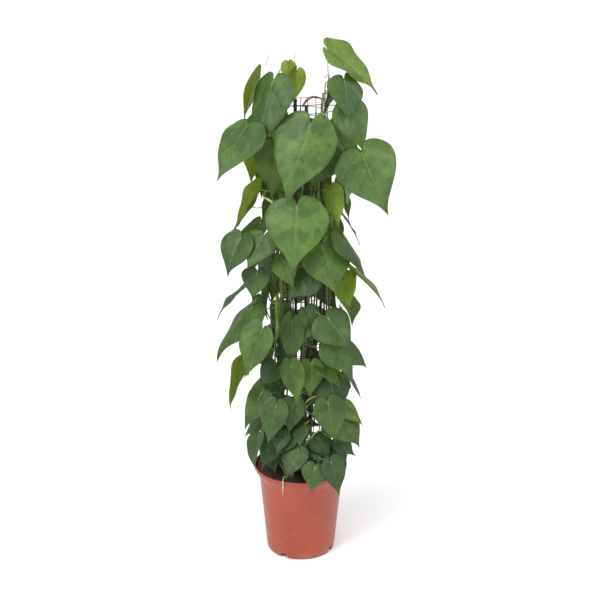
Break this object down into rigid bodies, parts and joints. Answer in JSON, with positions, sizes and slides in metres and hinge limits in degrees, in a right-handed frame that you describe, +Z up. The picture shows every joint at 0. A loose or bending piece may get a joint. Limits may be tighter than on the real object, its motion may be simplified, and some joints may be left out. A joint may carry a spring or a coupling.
{
  "type": "potted philodendron",
  "caption": "Heartleaf philodendron climbing an upright mesh column in a round terracotta-coloured plastic nursery pot, with vines, leaf stalks and pointed heart leaves.",
  "frame": {"origin": "centre of the flat underside of the pot", "axes": "+Z up the column, -Y towards the front of the plant, +X to the right seen from the front"},
  "size_m": [0.4268, 0.3488, 1.328],
  "materials": {
    "terracotta_plastic": "satin moulded plastic",
    "potting_soil": "dark damp peat-based potting mix",
    "net_plastic": "black extruded plastic mesh",
    "stake_cane": "dark stained cane",
    "vine_stem": "green and brown stems and leaf stalks",
    "leaf_blade": "waxy green leaf blade"
  },
  "bodies": {
    "root": {"pot": "terracotta_plastic", "soil": "potting_soil", "net_sleeve": "net_plastic", "stake_front": "stake_cane", "stake_back": "stake_cane", "vine_1": "vine_stem", "vine_2": "vine_stem", "vine_3": "vine_stem", "vine_4": "vine_stem", "vine_5": "vine_stem", "leaf_top_1": "leaf_blade", "leaf_top_2": "leaf_blade", "leaf_top_3": "leaf_blade", "leaf_top_4": "leaf_blade", "leaf_top_5": "leaf_blade", "leaf_top_6": "leaf_blade", "leaf_top_7": "leaf_blade", "leaf_upper_1": "leaf_blade", "leaf_upper_2": "leaf_blade", "leaf_upper_3": "leaf_blade", "leaf_upper_4": "leaf_blade", "leaf_upper_5": "leaf_blade", "leaf_upper_6": "leaf_blade", "leaf_upper_7": "leaf_blade", "leaf_upper_8": "leaf_blade", "leaf_upper_9": "leaf_blade", "leaf_upper_10": "leaf_blade", "leaf_middle_1": "leaf_blade", "leaf_middle_2": "leaf_blade", "leaf_middle_3": "leaf_blade", "leaf_middle_4": "leaf_blade", "leaf_middle_5": "leaf_blade", "leaf_middle_6": "leaf_blade", "leaf_middle_7": "leaf_blade", "leaf_middle_8": "leaf_blade", "leaf_middle_9": "leaf_blade", "leaf_middle_10": "leaf_blade", "leaf_middle_11": "leaf_blade", "leaf_middle_12": "leaf_blade", "leaf_middle_13": "leaf_blade", "leaf_low_1": "leaf_blade", "leaf_low_2": "leaf_blade", "leaf_low_3": "leaf_blade", "leaf_low_4": "leaf_blade", "leaf_low_5": "leaf_blade", "leaf_low_6": "leaf_blade", "leaf_low_7": "leaf_blade", "leaf_low_8": "leaf_blade", "leaf_back_1": "leaf_blade", "leaf_back_2": "leaf_blade", "leaf_back_3": "leaf_blade", "leaf_back_4": "leaf_blade", "leaf_back_5": "leaf_blade", "leaf_back_6": "leaf_blade", "leaf_back_7": "leaf_blade", "leaf_back_8": "leaf_blade", "leaf_back_9": "leaf_blade", "leaf_back_10": "leaf_blade", "leaf_back_11": "leaf_blade", "leaf_back_12": "leaf_blade"}
  },
  "joints": []
}
